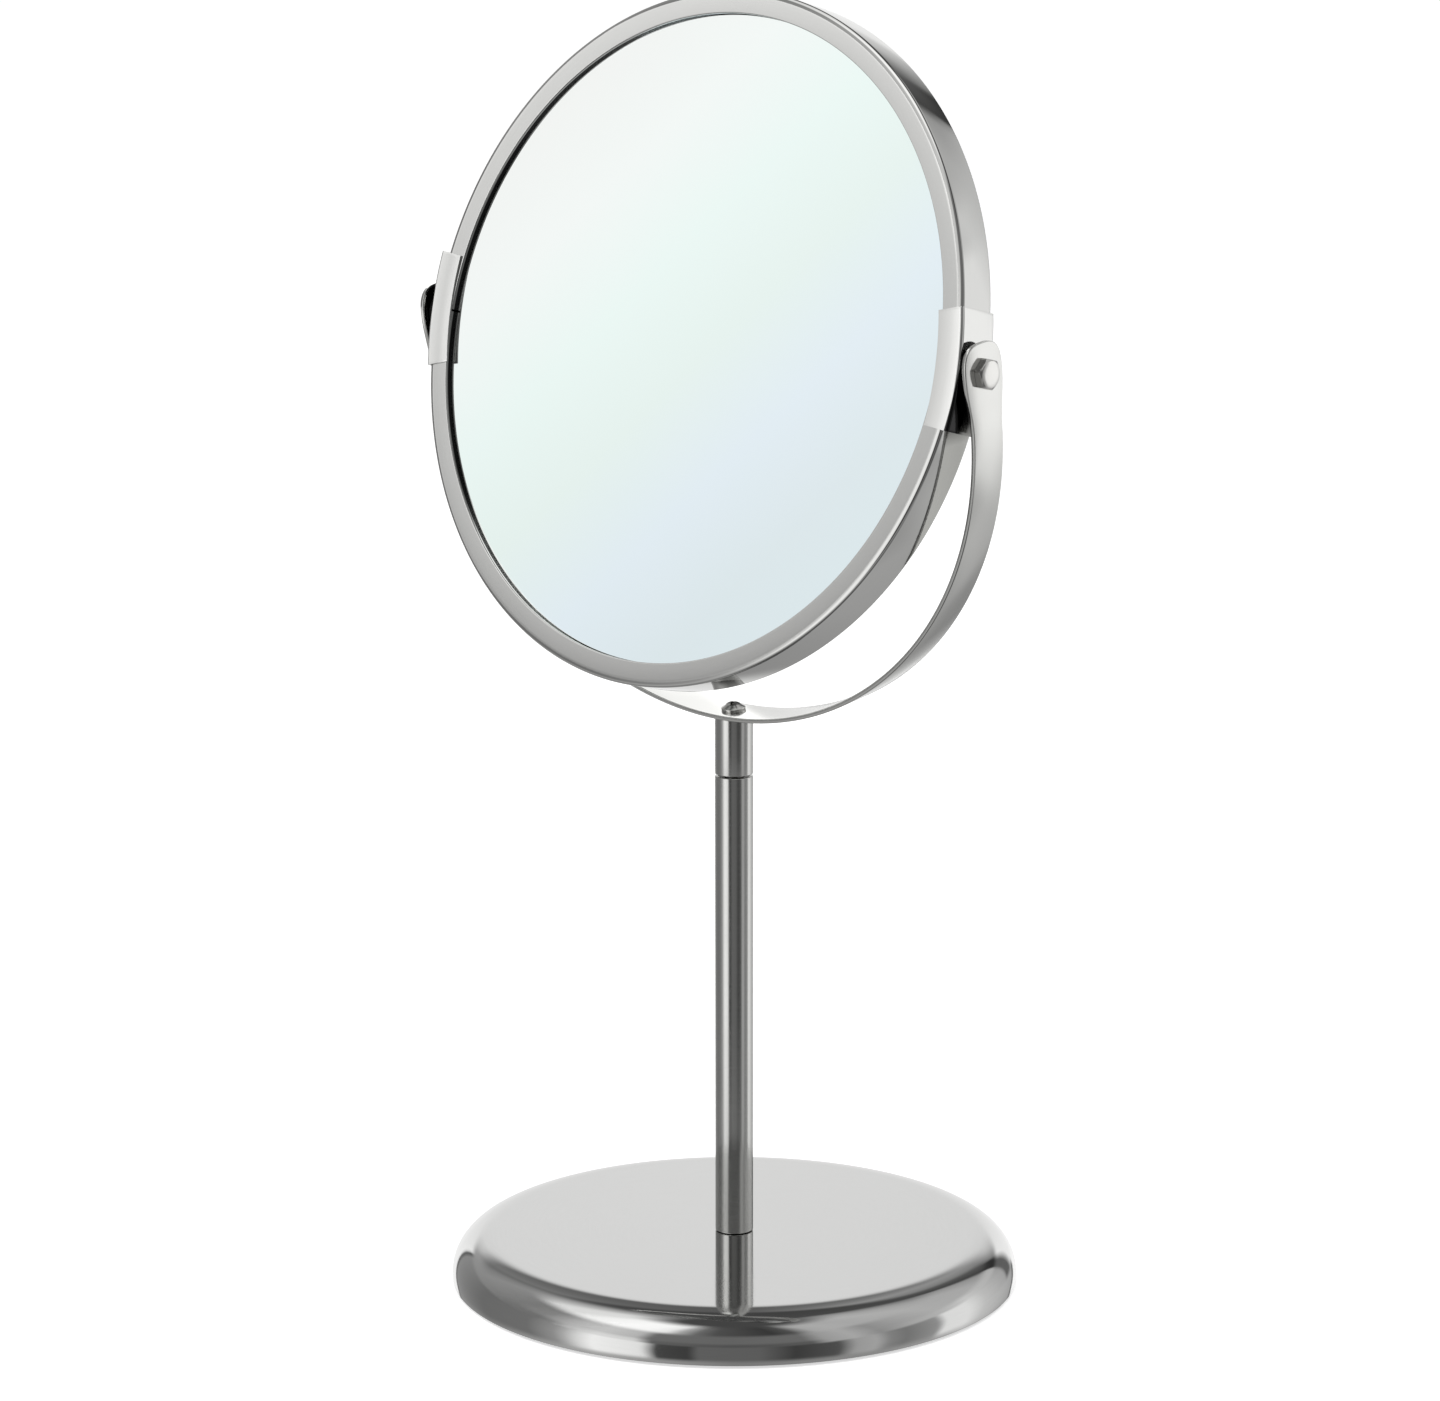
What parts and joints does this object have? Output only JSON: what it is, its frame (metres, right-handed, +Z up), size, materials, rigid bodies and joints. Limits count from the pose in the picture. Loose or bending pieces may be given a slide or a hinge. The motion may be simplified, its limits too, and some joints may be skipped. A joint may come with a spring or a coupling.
{
  "type": "countertop mirror",
  "caption": "Round two-sided mirror in a steel rim that turns in a bent strap yoke, on a thin tube post over a weighted round base.",
  "frame": {"origin": "middle of the base's underside, where it rests on the table", "axes": "+Z up along the post, +X towards the right arm of the yoke, -Y the way the plain side of the mirror faces"},
  "size_m": [0.1868, 0.146, 0.3306],
  "materials": {
    "foot_pad": "soft grey foam rubber",
    "base_plate": "moulded black plastic",
    "base_weight": "raw iron",
    "base_cover": "polished stainless steel sheet",
    "base_washer": "plated steel",
    "base_bolt": "plated steel",
    "post_plug": "plated steel",
    "post_tube": "satin to polished stainless steel",
    "post_bush": "moulded white plastic",
    "swivel_stub": "satin to polished stainless steel",
    "spigot_ring": "plated steel",
    "yoke_strap": "satin to polished stainless steel",
    "yoke_screw": "plated steel",
    "rim_upper": "satin to polished stainless steel",
    "rim_lower": "satin to polished stainless steel",
    "plain_glass": "silvered float glass",
    "magnifying_glass": "silvered float glass",
    "spacer_ring": "moulded white plastic",
    "backing_board": "grey board",
    "side_clip_left": "polished stainless steel sheet",
    "side_clip_right": "polished stainless steel sheet",
    "pivot_block_left": "plated steel",
    "pivot_block_right": "plated steel",
    "pivot_washer_left": "moulded black plastic",
    "pivot_washer_right": "moulded black plastic",
    "pivot_bolt_left": "plated steel",
    "pivot_bolt_right": "plated steel"
  },
  "bodies": {
    "base": {"foot_pad": "foot_pad", "base_plate": "base_plate", "base_weight": "base_weight", "base_cover": "base_cover", "base_washer": "base_washer", "base_bolt": "base_bolt", "post_plug": "post_plug", "post_tube": "post_tube", "post_bush": "post_bush"},
    "yoke": {"swivel_stub": "swivel_stub", "spigot_ring": "spigot_ring", "yoke_strap": "yoke_strap", "yoke_screw": "yoke_screw"},
    "head": {"rim_upper": "rim_upper", "rim_lower": "rim_lower", "plain_glass": "plain_glass", "magnifying_glass": "magnifying_glass", "spacer_ring": "spacer_ring", "backing_board": "backing_board", "side_clip_left": "side_clip_left", "side_clip_right": "side_clip_right", "pivot_block_left": "pivot_block_left", "pivot_block_right": "pivot_block_right", "pivot_washer_left": "pivot_washer_left", "pivot_washer_right": "pivot_washer_right", "pivot_bolt_left": "pivot_bolt_left", "pivot_bolt_right": "pivot_bolt_right"}
  },
  "joints": [
    {"name": "yoke_swivel", "type": "hinge", "parent": "base", "child": "yoke", "pos_m": [0, 0, 0.1333], "axis": [0, 0, 1], "continuous": true},
    {"name": "head_tilt", "type": "hinge", "parent": "yoke", "child": "head", "pos_m": [0, -0.01305, 0.24532], "axis": [1, 0, 0], "continuous": true}
  ]
}
